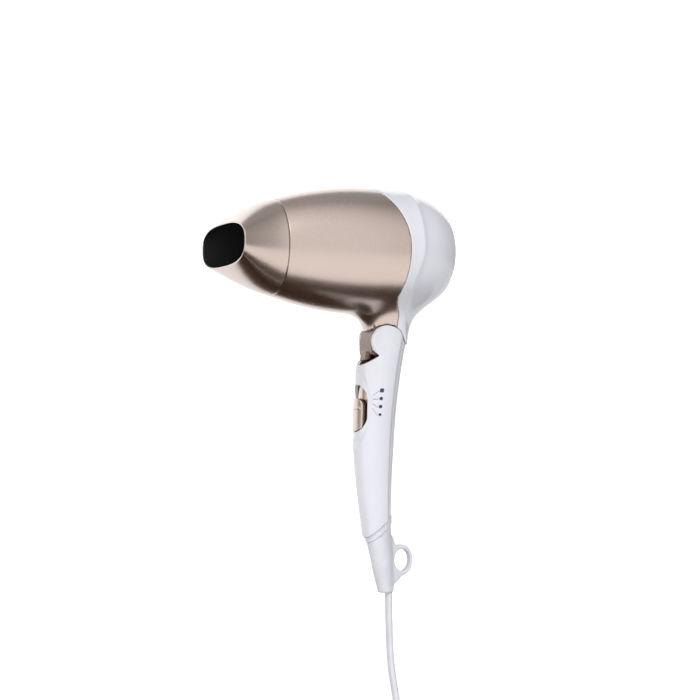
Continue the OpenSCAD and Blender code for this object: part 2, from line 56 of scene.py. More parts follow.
# Sizes in millimetres and angles in degrees, in the part's own frame
AXIS_Z = 110.0
BARREL_R = 35.3
BARREL_CURVE = 174.0
FAT_X = -8.0
MOUTH_X = -90.8
NOZZLE_L = 28.3
FRONT_X = MOUTH_X + NOZZLE_L
MOUTH_W = 33.5
MOUTH_H = 12.0
SEAM_X = 5.6
CREASE_X = 14.0
TAIL_X = 39.3
TAIL_R = 22.9
PIVOT_X = 1.5
PIVOT_Z = 59.5
CHEEK_R = 9.0
CHEEK_GAP = 9.0
CHEEK_FACE = 11.7
FAR_CHEEK_X = -5.0
FORK_SLOPE = 33.0
KNUCKLE_R = 7.2
TONGUE_W = 8.6
LIP_W = 4.2
GRIP_R = 11.4
SHELL = 1.8
SPLIT_ANGLE = 125.0
RIDGE_ANGLE = 112.0
RIDGE_H = 0.75
RIDGE_FRONT = 3.6
RIDGE_BACK = 1.5
SCREW_ZS = (0.0, -30.0)
SCREW_HOLE_R = 2.6
TAIL_Z = -43.5
TAIL_SLOPE = 40.0
SLIDER_Z = 22.5
SLOT_L = 26.0
SLOT_W = 16.5
SLOT_TRAVEL = 7.2
SHIELD_GAP = 1.05
RELIEF_END_Z = -80.0
LEAD_W = 5.4
LEAD_T = 3.3
HANK_X = 10.0
HANK_R = 22.0
HANK_TOP_Z = -152.0
HANK_RUN = 90.0
HANK_WAIST = 3.0
HANK_Y = 22.0
TIE_L = 14.0
TAIL_L = 24.0
PLUG_L = 44.0
PIN_L = 19.0
PIN_R = 2.4
PIN_GAP = 19.0
HANK_MID_Z = HANK_TOP_Z - HANK_R - HANK_RUN / 2
HANK_LOW_Z = HANK_TOP_Z - 2 * HANK_R - HANK_RUN
PLUG_TOP_Z = HANK_LOW_Z - TAIL_L


# ---- Camera, light and stage ----

def aim(obj, target):
    direction = Vector(target) - obj.location
    obj.rotation_euler = direction.to_track_quat("-Z", "Y").to_euler()


def add_camera():
    data = bpy.data.cameras.new("camera")
    data.lens = 92.8
    data.sensor_width = 36
    data.clip_start = 0.01
    camera = bpy.data.objects.new("camera", data)
    bpy.context.collection.objects.link(camera)
    camera.location = (-0.4266, -0.9132, 0.0138)
    aim(camera, (-0.0163, -0.0016, 0.0548))
    bpy.context.scene.camera = camera


def add_softbox(name, place, target, size, power):
    data = bpy.data.lights.new(name, "AREA")
    data.shape = "RECTANGLE"
    data.size, data.size_y = size
    data.energy = power
    light = bpy.data.objects.new(name, data)
    bpy.context.collection.objects.link(light)
    light.location = place
    aim(light, target)


def soft_dome():
    """World light that is brightest from the front, the left and above."""
    world = bpy.data.worlds.new("soft_dome")
    world.use_nodes = True
    nodes, links = world.node_tree.nodes, world.node_tree.links
    background = nodes["Background"]
    background.inputs["Color"].default_value = (0.97, 0.975, 1.0, 1)
    place = nodes.new("ShaderNodeTexCoord")
    facing = nodes.new("ShaderNodeVectorMath")
    facing.operation = "DOT_PRODUCT"
    facing.inputs[1].default_value = (-0.44, -0.85, 0.29)
    span = nodes.new("ShaderNodeMapRange")
    span.interpolation_type = "SMOOTHSTEP"
    span.inputs["From Min"].default_value = -0.2
    span.inputs["From Max"].default_value = 0.75
    span.inputs["To Min"].default_value = 0.18
    span.inputs["To Max"].default_value = 1.08
    links.new(place.outputs["Generated"], facing.inputs[0])
    links.new(facing.outputs["Value"], span.inputs["Value"])
    links.new(span.outputs["Result"], background.inputs["Strength"])
    return world


def add_lights():
    target = (-0.02, 0, 0.06)
    add_softbox("key_softbox", (-0.75, -0.75, 0.95), target, (0.9, 0.7), 1.5)
    add_softbox("side_softbox", (1.1, -0.5, 0.25), target, (0.6, 1.1), 0.15)
    add_softbox("front_strip", (-1.2, -0.2, 0.15), target, (0.4, 1.2), 0.9)
    add_softbox("top_softbox", (0.1, 0.5, 1.2), target, (1.2, 0.6), 0.5)
    bpy.context.scene.world = soft_dome()
    bpy.context.scene.view_settings.view_transform = "Standard"


def add_stage():
    floor_z = CAD_BOX[0][2] - 0.001
    back_y = 1.7
    bend_r = 0.9
    bend = [(back_y + bend_r * math.sin(a), floor_z + bend_r * (1 - math.cos(a)))
            for a in np.linspace(0, math.pi / 2, 24)]
    profile = [(-3.0, floor_z)] + bend + [(back_y + bend_r, 3.2)]
    points = [(x, y, z) for x in (-3.5, 3.5) for y, z in profile]
    n = len(profile)
    faces = [(k, k + 1, n + k + 1, n + k) for k in range(n - 1)]
    sweep = mesh_object("studio_sweep", np.array(points) / MM, faces, [paper_material()])
    sweep.visible_diffuse = False
    card_z = floor_z + 0.004
    corners = [(-1.4, -0.23, card_z), (0.6, -0.23, card_z), (0.6, 0.62, card_z), (-1.4, 0.62, card_z)]
    card = mesh_object("dark_card", np.array(corners) / MM, [(0, 1, 2, 3)], [card_material()])
    card.visible_camera = False
    card.visible_diffuse = False
    card.visible_shadow = False
    card.visible_transmission = False


# ---- Materials ----

def new_material(name, color, roughness, metallic=0.0):
    mat = bpy.data.materials.new(name)
    mat.use_nodes = True
    shader = mat.node_tree.nodes["Principled BSDF"]
    shader.inputs["Base Color"].default_value = (*color, 1)
    shader.inputs["Roughness"].default_value = roughness
    shader.inputs["Metallic"].default_value = metallic
    return mat, shader


def add_noise(mat, scale, detail=2.0, stretch=(1, 1, 1)):
    """Noise in the object's own coordinates; scale is in cells per metre."""
    nodes, links = mat.node_tree.nodes, mat.node_tree.links
    place = nodes.new("ShaderNodeTexCoord")
    mapping = nodes.new("ShaderNodeMapping")
    mapping.inputs["Scale"].default_value = stretch
    noise = nodes.new("ShaderNodeTexNoise")
    noise.inputs["Scale"].default_value = scale
    noise.inputs["Detail"].default_value = detail
    links.new(place.outputs["Object"], mapping.inputs["Vector"])
    links.new(mapping.outputs["Vector"], noise.inputs["Vector"])
    return noise.outputs["Fac"]


def vary(mat, shader, fac, color, spread, roughness, rough_spread):
    """Base colour and roughness that wander with fac about their mean."""
    nodes, links = mat.node_tree.nodes, mat.node_tree.links
    ramp = nodes.new("ShaderNodeValToRGB")
    low, high = ramp.color_ramp.elements
    low.position, high.position = 0.3, 0.7
    low.color = (*[c * (1 - spread) for c in color], 1)
    high.color = (*[min(c * (1 + spread), 1) for c in color], 1)
    links.new(fac, ramp.inputs["Fac"])
    links.new(ramp.outputs["Color"], shader.inputs["Base Color"])
    span = nodes.new("ShaderNodeMapRange")
    span.inputs["To Min"].default_value = roughness - rough_spread
    span.inputs["To Max"].default_value = roughness + rough_spread
    links.new(fac, span.inputs["Value"])
    links.new(span.outputs["Result"], shader.inputs["Roughness"])


def add_bump(mat, shader, height, strength, distance):
    nodes, links = mat.node_tree.nodes, mat.node_tree.links
    bump = nodes.new("ShaderNodeBump")
    bump.inputs["Strength"].default_value = strength
    bump.inputs["Distance"].default_value = distance
    links.new(height, bump.inputs["Height"])
    links.new(bump.outputs["Normal"], shader.inputs["Normal"])


def champagne_material(name, color):
    """Satin metallic lacquer with a fine flake."""
    mat, shader = new_material(name, color, 0.28, 1.0)
    vary(mat, shader, add_noise(mat, 5200, 1.0), color, 0.05, 0.28, 0.04)
    shader.inputs["Coat Weight"].default_value = 0.35
    shader.inputs["Coat Roughness"].default_value = 0.12
    add_bump(mat, shader, add_noise(mat, 900, 3.0), 0.03, 0.0002)
    return mat


def white_material():
    """Gloss moulded plastic, a cool white with a very slight orange peel."""
    color = (0.87, 0.87, 0.91)
    mat, shader = new_material("white_gloss_plastic", color, 0.26)
    vary(mat, shader, add_noise(mat, 60, 3.0), color, 0.012, 0.26, 0.03)
    shader.inputs["Coat Weight"].default_value = 0.25
    shader.inputs["Coat Roughness"].default_value = 0.08
    shader.inputs["Subsurface Weight"].default_value = 0.05
    shader.inputs["Subsurface Scale"].default_value = 0.002
    add_bump(mat, shader, add_noise(mat, 420, 2.0), 0.03, 0.0003)
    return mat


def plastic_material(name, color, roughness, grain_scale=2600, grain=0.12):
    """Moulded plastic or rubber with a fine spark-eroded grain."""
    mat, shader = new_material(name, color, roughness)
    vary(mat, shader, add_noise(mat, 140, 4.0), color, 0.05, roughness, 0.05)
    add_bump(mat, shader, add_noise(mat, grain_scale, 2.0), grain, 0.0001)
    return mat


def metal_material(name, color, roughness, stretch=(1, 1, 1)):
    """Plated or drawn metal with faint tool marks along one axis."""
    mat, shader = new_material(name, color, roughness, 1.0)
    vary(mat, shader, add_noise(mat, 1400, 3.0, stretch), color, 0.06, roughness, 0.07)
    add_bump(mat, shader, add_noise(mat, 2200, 2.0, stretch), 0.08, 0.0001)
    return mat


def screen_material():
    """Woven steel screen: dark square holes between round wires."""
    mat, shader = new_material("woven_screen", (0.30, 0.30, 0.31), 0.4, 1.0)
    nodes, links = mat.node_tree.nodes, mat.node_tree.links
    place = nodes.new("ShaderNodeTexCoord")
    waves = []
    for direction in ("Y", "Z"):
        wave = nodes.new("ShaderNodeTexWave")
        wave.bands_direction = direction
        wave.inputs["Scale"].default_value = 320
        links.new(place.outputs["Object"], wave.inputs["Vector"])
        waves.append(wave.outputs["Fac"])
    wires = nodes.new("ShaderNodeMath")
    wires.operation = "MAXIMUM"
    links.new(waves[0], wires.inputs[0])
    links.new(waves[1], wires.inputs[1])
    ramp = nodes.new("ShaderNodeValToRGB")
    ramp.color_ramp.elements[0].position = 0.45
    ramp.color_ramp.elements[0].color = (0.01, 0.01, 0.01, 1)
    ramp.color_ramp.elements[1].position = 0.7
    ramp.color_ramp.elements[1].color = (0.42, 0.42, 0.44, 1)
    links.new(wires.outputs["Value"], ramp.inputs["Fac"])
    links.new(ramp.outputs["Color"], shader.inputs["Base Color"])
    add_bump(mat, shader, wires.outputs["Value"], 0.5, 0.0003)
    return mat


def paper_material():
    mat, shader = new_material("studio_paper", (0.93, 0.93, 0.94), 0.9)
    vary(mat, shader, add_noise(mat, 8, 2.0), (0.93, 0.93, 0.94), 0.01, 0.9, 0.03)
    shader.inputs["Emission Color"].default_value = (1, 1, 1, 1)
    shader.inputs["Emission Strength"].default_value = 0.62
    return mat


def card_material():
    mat, shader = new_material("dark_card", (0.06, 0.026, 0.009), 0.9)
    shader.inputs["Specular IOR Level"].default_value = 0.0
    return mat


# ---- Mesh building ----

def mesh_object(name, points_mm, faces, mats, face_mats=None, smooth=True, normals=None):
    mesh = bpy.data.meshes.new(name)
    mesh.from_pydata((np.asarray(points_mm, float) * MM).tolist(), [], [tuple(f) for f in faces])
    for mat in mats:
        mesh.materials.append(mat)
    if face_mats is not None:
        mesh.polygons.foreach_set("material_index", face_mats)
    mesh.polygons.foreach_set("use_smooth", [smooth] * len(mesh.polygons))
    mesh.update()
    if normals is not None:
        mesh.normals_split_custom_set(normals.tolist())
    obj = bpy.data.objects.new(name, mesh)
    bpy.context.collection.objects.link(obj)
    return obj


def place_piece(obj, body, slot, *nodes):
    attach(obj, body)
    if nodes:
        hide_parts(*nodes)
    return obj


def loft_faces(rings, sides, capped=True):
    """Faces between rings of the same number of points, with a cap on each end if asked."""
    faces = []
    for k in range(rings - 1):
        for i in range(sides):
            j = (i + 1) % sides
            faces.append((k * sides + i, k * sides + j, (k + 1) * sides + j, (k + 1) * sides + i))
    if capped:
        faces.append(tuple(range(sides - 1, -1, -1)))
        faces.append(tuple((rings - 1) * sides + i for i in range(sides)))
    return faces


def wall_faces(rings, sides):
    """Faces of a wall whose rings go along one side and back along the other."""
    faces = loft_faces(rings, sides, capped=False)
    last = (rings - 1) * sides
    return faces + [(last + i, last + (i + 1) % sides, (i + 1) % sides, i) for i in range(sides)]


def soften(obj, angle):
    """Smooth shading, except along edges that turn by more than the angle in degrees."""
    obj.data.set_sharp_from_angle(angle=math.radians(angle))
    return obj


def smooth_step(t):
    t = np.clip(t, 0, 1)
    return t * t * (3 - 2 * t)


def smooth_min(a, b, k):
    return np.minimum(a, b) - np.maximum(k - np.abs(a - b), 0) ** 2 / (4 * k)


def smooth_max(a, b, k):
    return -smooth_min(-a, -b, k)


def slope_of(field, points, step=0.04):
    """Gradient of a field at each point."""
    slope = np.empty_like(points)
    for i in range(3):
        shift = np.zeros(3)
        shift[i] = step
        slope[:, i] = (field(points + shift) - field(points - shift)) / (2 * step)
    return slope


def unit(vectors):
    return vectors / np.maximum(np.linalg.norm(vectors, axis=1, keepdims=True), 1e-9)


def settle(field, points, rounds=3):
    """Moves points onto the surface where the field is zero."""
    for _ in range(rounds):
        slope = slope_of(field, points)
        share = field(points) / np.maximum((slope * slope).sum(1), 1e-6)
        points = points - np.clip(share, -2, 2)[:, None] * slope
    return points


def surface_net(field, low, high, step):
    """Triangles on the surface where the field is zero, from one point in each cell it crosses."""
    axes = [np.arange(a, b + step, step) for a, b in zip(low, high)]
    grid = np.stack(np.meshgrid(*axes, indexing="ij"), -1)
    inside = field(grid.reshape(-1, 3)).reshape(grid.shape[:3]) < 0
    count = sum(inside[i:i - 1 or None, j:j - 1 or None, k:k - 1 or None].astype(int)
                for i in (0, 1) for j in (0, 1) for k in (0, 1))
    mixed = (count > 0) & (count < 8)
    index = -np.ones(mixed.shape, int)
    index[mixed] = np.arange(mixed.sum())
    points = np.argwhere(mixed) * step + np.array([a[0] for a in axes]) + step / 2
    quads = []
    for axis in range(3):
        u, v = (axis + 1) % 3, (axis + 2) % 3
        first = np.take(inside, range(inside.shape[axis] - 1), axis)
        second = np.take(inside, range(1, inside.shape[axis]), axis)
        crossing = np.argwhere(first != second)
        crossing = crossing[(crossing[:, u] > 0) & (crossing[:, v] > 0)]
        crossing = crossing[(crossing[:, u] < mixed.shape[u]) & (crossing[:, v] < mixed.shape[v])]
        corners = []
        for du, dv in ((1, 1), (0, 1), (0, 0), (1, 0)):
            cell = crossing.copy()
            cell[:, u] -= du
            cell[:, v] -= dv
            corners.append(index[cell[:, 0], cell[:, 1], cell[:, 2]])
        quad = np.stack(corners, 1)
        leaving = first[crossing[:, 0], crossing[:, 1], crossing[:, 2]]
        quad[~leaving] = quad[~leaving][:, ::-1]
        quads.append(quad)
    quads = np.concatenate(quads)
    triangles = np.concatenate([quads[:, [0, 1, 2]], quads[:, [0, 2, 3]]])
    return settle(field, points), triangles


def clip_mesh(points, triangles, keep):
    """The part of a mesh where keep is positive, cut cleanly along keep = 0."""
    value = keep(points)
    value = np.where(np.abs(value) < 1e-6, 1e-6, value)
    sign = value > 0
    number = sign[triangles].sum(1)
    whole = triangles[number == 3]
    cut = triangles[(number == 1) | (number == 2)]
    odd = sign[cut].sum(1) == 1
    lone = np.argmax(sign[cut] == odd[:, None], axis=1)
    rows = np.arange(len(cut))
    a, b, c = (cut[rows, (lone + s) % 3] for s in range(3))
    edges = np.concatenate([np.stack([a, b], 1), np.stack([a, c], 1)])
    pairs, where = np.unique(np.sort(edges, 1), axis=0, return_inverse=True)
    where = where.reshape(-1)
    va, vb = value[pairs[:, 0]], value[pairs[:, 1]]
    share = (va / (va - vb))[:, None]
    fresh = points[pairs[:, 0]] * (1 - share) + points[pairs[:, 1]] * share
    ab, ac = where[:len(cut)] + len(points), where[len(cut):] + len(points)
    tips = np.stack([a, ab, ac], 1)[odd]
    bases = np.concatenate([np.stack([ab, b, c], 1)[~odd], np.stack([ab, c, ac], 1)[~odd]])
    points = np.concatenate([points, fresh])
    triangles = np.concatenate([whole, tips, bases])
    used, triangles = np.unique(triangles, return_inverse=True)
    return points[used], triangles.reshape(-1, 3)


def shell_object(name, field, low, high, step, cuts, thickness, edge_r, mats):
    """A skin on the field's surface with the given wall, open and rounded where the cuts end it."""
    points, triangles = surface_net(field, low, high, step)
    for cut in cuts:
        points, triangles = clip_mesh(points, triangles, cut)
    normals = unit(slope_of(field, points))
    reach = np.stack([cut(points) for cut in cuts])
    nearest = reach.argmin(0)
    gap = np.clip(reach.min(0), 0, edge_r)
    outward = np.zeros_like(points)
    for i, cut in enumerate(cuts):
        mine = (nearest == i) & (gap < edge_r)
        if mine.any():
            outward[mine] = -unit(slope_of(cut, points[mine]))
    tilt = (1 - gap / edge_r)[:, None] * 0.8
    drop = edge_r - np.sqrt(np.maximum(edge_r ** 2 - (edge_r - gap) ** 2, 0))
    wall = thickness(points) if callable(thickness) else np.full(len(points), float(thickness))
    outer = points - normals * drop[:, None]
    inner = points - normals * wall[:, None]
    outer_normals = unit(normals * np.sqrt(1 - tilt ** 2) + outward * tilt)
    n = len(points)
    edges = np.concatenate([triangles[:, [0, 1]], triangles[:, [1, 2]], triangles[:, [2, 0]]])
    keys = np.sort(edges, 1)
    _, first, times = np.unique(keys, axis=0, return_index=True, return_counts=True)
    rim = edges[first[times == 1]]
    faces = triangles.tolist() + (triangles[:, ::-1] + n).tolist()
    faces += [[int(b), int(a), int(a) + n, int(b) + n] for a, b in rim]
    rim_normals = outward[rim[:, 0]] + outward[rim[:, 1]]
    rim_normals[np.linalg.norm(rim_normals, axis=1) < 1e-6] = (0, 0, 1)
    loops = [outer_normals[triangles].reshape(-1, 3), -normals[triangles[:, ::-1]].reshape(-1, 3),
             np.repeat(unit(rim_normals), 4, axis=0)]
    return mesh_object(name, np.concatenate([outer, inner]), faces, mats, normals=np.concatenate(loops))


def solid_object(name, field, low, high, step, mats):
    """A closed smooth solid on the field's surface."""
    points, triangles = surface_net(field, low, high, step)
    normals = unit(slope_of(field, points))
    return mesh_object(name, points, triangles.tolist(), mats, normals=normals[triangles].reshape(-1, 3))


def outline_distance(outline, a, b):
    """Signed distance from points (a, b) to a closed outline, positive inside it."""
    outline = np.asarray(outline, float)
    best = np.full(a.shape, 1e9)
    inside = np.zeros(a.shape, bool)
    for (x0, y0), (x1, y1) in zip(outline, np.roll(outline, -1, 0)):
        dx, dy = x1 - x0, y1 - y0
        t = np.clip(((a - x0) * dx + (b - y0) * dy) / (dx * dx + dy * dy), 0, 1)
        best = np.minimum(best, np.hypot(a - x0 - t * dx, b - y0 - t * dy))
        if dy != 0:
            crossing = ((y0 > b) != (y1 > b)) & (a < x0 + (b - y0) * dx / dy)
            inside ^= crossing
    return np.where(inside, best, -best)


def stadium_distance(a, b, width, length):
    """Signed distance outside a stadium that is tall along b, negative inside it."""
    over = np.maximum(np.abs(b) - (length - width) / 2, 0)
    return np.hypot(a, over) - width / 2


# ---- Mains lead ----

LEAD_ROUTE = [(8, 0, RELIEF_END_Z), (8, 0, -86), (8.2, 0, -96), (8.6, 0, -108), (9, -1, -120),
              (9.5, -4, -132), (10, -7, -143), (10, -8, -152)]
FOLD_INNER = 16.4
FOLD_OUTER = 19.9
LAYERS = (-8.25, -2.75, 2.75, 8.25)


def spline(points, count):
    """Smooth curve through points, by Catmull-Rom."""
    points = np.asarray(points, float)
    ends = np.concatenate([[2 * points[0] - points[1]], points, [2 * points[-1] - points[-2]]])
    out = []
    for k in range(len(points) - 1):
        p0, p1, p2, p3 = ends[k:k + 4]
        for t in np.linspace(0, 1, count, endpoint=False):
            out.append(0.5 * (2 * p1 + (p2 - p0) * t + (2 * p0 - 5 * p1 + 4 * p2 - p3) * t * t
                              + (3 * p1 - p0 - 3 * p2 + p3) * t ** 3))
    out.append(points[-1])
    return np.array(out)


def fold(side, radius, y):
    """Half turn about the hank's lower (side -1) or upper (side 1) fold."""
    centre = HANK_MID_Z + side * HANK_RUN / 2
    angles = np.linspace(0, math.pi, 26)
    x = HANK_X + side * radius * np.cos(angles)
    z = centre + side * radius * np.sin(angles)
    return np.stack([x, np.full(26, y), z], 1)


def run(side, start, end, window):
    """Run between folds, up the right (side 1) or down the left (side -1), shifting in one window."""
    t = np.linspace(0, 1, 24)[1:-1]
    s = smooth_step((t - window[0]) / (window[1] - window[0]))
    radius = start[0] + (end[0] - start[0]) * s
    y = start[1] + (end[1] - start[1]) * s
    h = side * HANK_RUN * (t - 0.5)
    radius = radius - HANK_WAIST * np.cos(math.pi * h / HANK_RUN) ** 2
    return np.stack([HANK_X + side * radius, y, HANK_MID_Z + h], 1)


def lead_path():
    """Centre line of the whole lead, from the strain relief to the plug."""
    low, high = HANK_MID_Z - HANK_RUN / 2, HANK_MID_Z + HANK_RUN / 2
    path = [spline(LEAD_ROUTE, 6)]
    z = np.linspace(HANK_TOP_Z - 5, low + 3, 24)
    s = smooth_step((HANK_TOP_Z - 5 - z) / (HANK_TOP_Z - 5 - low))
    path.append(np.stack([HANK_X - FOLD_INNER * s, np.full(24, LAYERS[0]), z], 1))
    stages = [(FOLD_INNER, LAYERS[0]), (FOLD_INNER, LAYERS[1]), (FOLD_OUTER, LAYERS[1]),
              (FOLD_OUTER, LAYERS[2]), (FOLD_INNER, LAYERS[2]), (FOLD_INNER, LAYERS[3])]
    for k in range(5):
        here, there = stages[k], stages[k + 1]
        begin = 0.72 - 0.18 * k
        path.append(fold(-1, *here))
        path.append(run(1, here, there, (begin, begin + 0.28)))
        path.append(fold(1, *there))
        if k < 4:
            path.append(run(-1, there, there, (0, 1)))
    z = np.linspace(high - 4, HANK_LOW_Z + 4, 24)
    s = smooth_step((high - z) / (high - HANK_LOW_Z - 4))
    path.append(np.stack([HANK_X - FOLD_INNER * (1 - s), np.full(24, LAYERS[3]), z], 1))
    z = np.linspace(HANK_LOW_Z, PLUG_TOP_Z, 12)
    s = smooth_step((HANK_LOW_Z - z) / (HANK_LOW_Z - PLUG_TOP_Z))
    path.append(np.stack([np.full(12, HANK_X), LAYERS[3] * (1 - s), z], 1))
    return np.concatenate(path)


def lead_section(count=20):
    """Outline of the flat lead: two cores side by side with a shallow groove between them."""
    core = LEAD_T / 2
    offset = LEAD_W / 2 - core
    angles = np.linspace(0, 2 * math.pi, count, endpoint=False)
    wide = offset * np.sign(np.cos(angles)) * np.abs(np.cos(angles)) ** 0.35 + core * np.cos(angles)
    thin = core * np.sin(angles) * (1 - 0.16 * np.exp(-(wide / 0.7) ** 2))
    return wide, thin


def make_lead(mat):
    path = lead_path()
    along = unit(np.gradient(path, axis=0))
    across = np.tile([0.0, 1.0, 0.0], (len(path), 1))
    out = unit(np.cross(along, across))
    across = np.cross(out, along)
    wide, thin = lead_section()
    rings = path[:, None] + wide[None, :, None] * across[:, None] + thin[None, :, None] * out[:, None]
    faces = loft_faces(len(path), len(wide))
    lead = mesh_object("mains_lead", rings.reshape(-1, 3), faces, [mat])
    place_piece(lead, "handle", "cord_pvc", "cord_lead", "cord_hank", "cord_tail")
    return lead, path


def rounded_rect(half_a, half_b, radius, count=8):
    """Outline of a rectangle with round corners."""
    out = []
    for sa, sb, start in ((1, 1, 0), (-1, 1, 90), (-1, -1, 180), (1, -1, 270)):
        for a in np.linspace(start, start + 90, count):
            angle = math.radians(a)
            out.append((sa * (half_a - radius) + radius * math.cos(angle),
                        sb * (half_b - radius) + radius * math.sin(angle)))
    return np.array(out)


def make_tie(mat):
    """Soft strap round the hank's waist, with moulded ribs."""
    waist = HANK_R - HANK_WAIST * math.cos(math.pi * TIE_L / 2 / HANK_RUN) ** 2 + 0.05
    heights = np.linspace(-1, 1, 25)
    rings = []
    for inner in (False, True):
        for h in heights if not inner else heights[::-1]:
            edge = 0.5 * max(0.0, (abs(h) - 0.86) / 0.14) ** 2
            rib = 0.12 * math.cos(h * 5 * math.pi) if abs(h) < 0.9 else 0.0
            grow = 0.1 if inner else 1.15 - edge - 0.12 + rib
            outline = rounded_rect(waist + grow, HANK_Y / 2 + grow, 4.5 if not inner else 3.5)
            z = HANK_MID_Z + h * TIE_L / 2
            rings.append([(HANK_X + a, b, z) for a, b in outline])
    sides = len(rings[0])
    faces = wall_faces(len(rings), sides)
    tie = mesh_object("lead_tie", np.array(rings).reshape(-1, 3), faces, [mat])
    soften(tie, 50)
    return place_piece(tie, "handle", "tie_rubber", "cord_tie")


def plug_field(points):
    """Flat contour plug: round-ended body, shoulders, and a ribbed neck round the lead."""
    x, y, z = points.T
    x = x - HANK_X
    low = PLUG_TOP_Z - PLUG_L
    neck = PLUG_TOP_Z - 14
    t = smooth_step((z - (neck - 2)) / 9)
    rx = 13 - 5 * t - 3.6 * smooth_step((z - neck - 5) / 5)
    half = 5 - 2 * t - 1.8 * smooth_step((z - neck - 5) / 5)
    grip = 0.5 * np.exp(-((z - (low + 16)) / 6) ** 2) * np.exp(-(x / 6) ** 2)
    side = np.hypot(x, np.maximum(np.abs(y) - half, 0)) - rx + grip
    ribs = 0.3 * np.cos((z - neck) * 2.1) * smooth_step((z - neck - 7) / 2)
    ends = np.maximum(low + 0.02 - z, z - PLUG_TOP_Z + 0.02)
    return smooth_max(side + ribs, ends, 2.0)


def make_plug(body_mat, pin_mat, sleeve_mat):
    low = PLUG_TOP_Z - PLUG_L
    body = solid_object("plug_body_shell", plug_field, (HANK_X - 15, -20, low - 2),
                        (HANK_X + 15, 20, PLUG_TOP_Z + 2), 0.8, [body_mat])
    place_piece(body, "handle", "white_matte", "plug_body")
    profile = [(0.0, 2.0), (PIN_R, 2.0), (PIN_R, -9.6), (PIN_R - 0.12, -9.8), (PIN_R - 0.1, -16.6),
               (PIN_R - 0.3, -17.7), (PIN_R - 0.9, -18.6), (PIN_R - 1.7, -PIN_L), (0.0, -PIN_L)]
    pieces = [body]
    for side, name in ((-1, "plug_pin_left"), (1, "plug_pin_right")):
        sides = 32
        rings = [[(HANK_X + r * math.cos(a), side * PIN_GAP / 2 + r * math.sin(a), low + h)
                  for a in np.linspace(0, 2 * math.pi, sides, endpoint=False)] for r, h in profile]
        faces = [tuple(reversed(f)) for f in loft_faces(len(rings), sides, capped=False)]
        sleeve = [1 if f[0] // sides < 3 else 0 for f in faces]
        pin = mesh_object(name, np.array(rings).reshape(-1, 3), faces, [pin_mat, sleeve_mat], sleeve)
        soften(pin, 40)
        place_piece(pin, "handle", "nickel_pins", "plug_pins")
        pieces.append(pin)
    return pieces


# ---- Head ----

def side_r(x):
    return BARREL_R - BARREL_CURVE + np.sqrt(np.maximum(BARREL_CURVE ** 2 - (x - FAT_X) ** 2, 1))


def rear_r(x):
    t = np.clip((x - CREASE_X) / (TAIL_X - CREASE_X), 0, 1.3)
    start = side_r(CREASE_X)
    return start - 2.4 * t - (start - 2.4 - TAIL_R) * t ** 2.4


def seam_at(h):
    lower = np.where(h > -26, SEAM_X - 0.0035 * h * h, SEAM_X - 0.0035 * 26 ** 2
                     + (7.5 - SEAM_X + 0.0035 * 26 ** 2) * smooth_step((-26 - h) / 12))
    return np.where(h > 0, SEAM_X - 0.0095 * h * h, lower)


def crease_at(h):
    """Station of the rear housing's crease, which sweeps forward below the axis."""
    return np.interp(h, [-60, -48, -38, -30, -24, -18, -12, -5, 2, 40],
                     [16.0, 14.0, 11.4, 9.9, 9.5, 9.8, 11.2, 13.2, 14.0, 14.0])


def head_field(points):
    x, y, z = points.T
    h = z - AXIS_Z
    base = np.where(x < CREASE_X, side_r(x), rear_r(x))
    reach = x - crease_at(h)
    width = np.where(reach < 0, 6.0, 2.2)
    ridge = 1.1 * np.exp(-(np.sqrt(reach ** 2 + 0.06) - 0.25) / width)
    barrel = np.hypot(y, h) - base
    tail = x - TAIL_X
    barrel = smooth_max(barrel, tail, 2.4)
    t = np.clip((z - 62) / 16, -1, 1.2)
    centre = 5.9 + 1.9 * t
    depth = 12.9 + 1.4 * t
    width_y = 12.4 + 0.7 * t
    neck = (np.hypot((x - centre) / depth, y / width_y) - 1) * 0.97 * np.minimum(depth, width_y)
    neck = np.maximum(neck, z - AXIS_Z)
    return smooth_min(barrel, neck, 11.0) - ridge


HINGE_CLEARANCE = [(-20, 40), (-20, 65.5), (-4, 65.5), (PIVOT_X, PIVOT_Z + CHEEK_R), (5.6, 68.4),
                   (9.5, 66), (12, 62.5), (14, 59), (20, 57.3), (30, 57.3), (30, 40)]


def above_hinge(points):
    x, _, z = points.T
    outline = -outline_distance(HINGE_CLEARANCE, x, z)
    return np.minimum(outline, np.hypot(x - PIVOT_X, z - PIVOT_Z) - CHEEK_R - 0.35)


def in_front_of_seam(points):
    return seam_at(points[:, 2] - AXIS_Z) - points[:, 0] - 0.05


def behind_seam(points):
    return points[:, 0] - seam_at(points[:, 2] - AXIS_Z) - 0.2


def make_head_shells(gold, white):
    side, top = 39, AXIS_Z + 39
    barrel = shell_object("barrel_skin", head_field, (-64, -side, 54), (16, side, top), 0.9,
                          [lambda p: p[:, 0] - FRONT_X, in_front_of_seam, above_hinge], 2.0, 0.45, [gold])
    place_piece(barrel, "head", "champagne_paint", "barrel_shell")
    rear = shell_object("rear_skin", head_field, (-6, -side, 52), (42, side, top), 0.9,
                        [behind_seam, lambda p: TAIL_X - 0.4 - p[:, 0], above_hinge], 2.0, 0.45, [white])
    place_piece(rear, "head", "white_gloss", "rear_housing")


TONGUE = [(-5.4, 51.8), (-6.2, 52.8), (-5.9, 56), (-5.6, 60), (-4.8, 66), (-4.6, 78),
          (10.5, 78), (10.5, 72), (9.5, 63.5), (8.6, 58), (5.5, 53.2), (1.5, 51.2)]
TONGUE_LIP = [(-8.0, 49.2), (-6, 48.6), (-2, 50.6), (-2, 54), (-7.4, 54)]


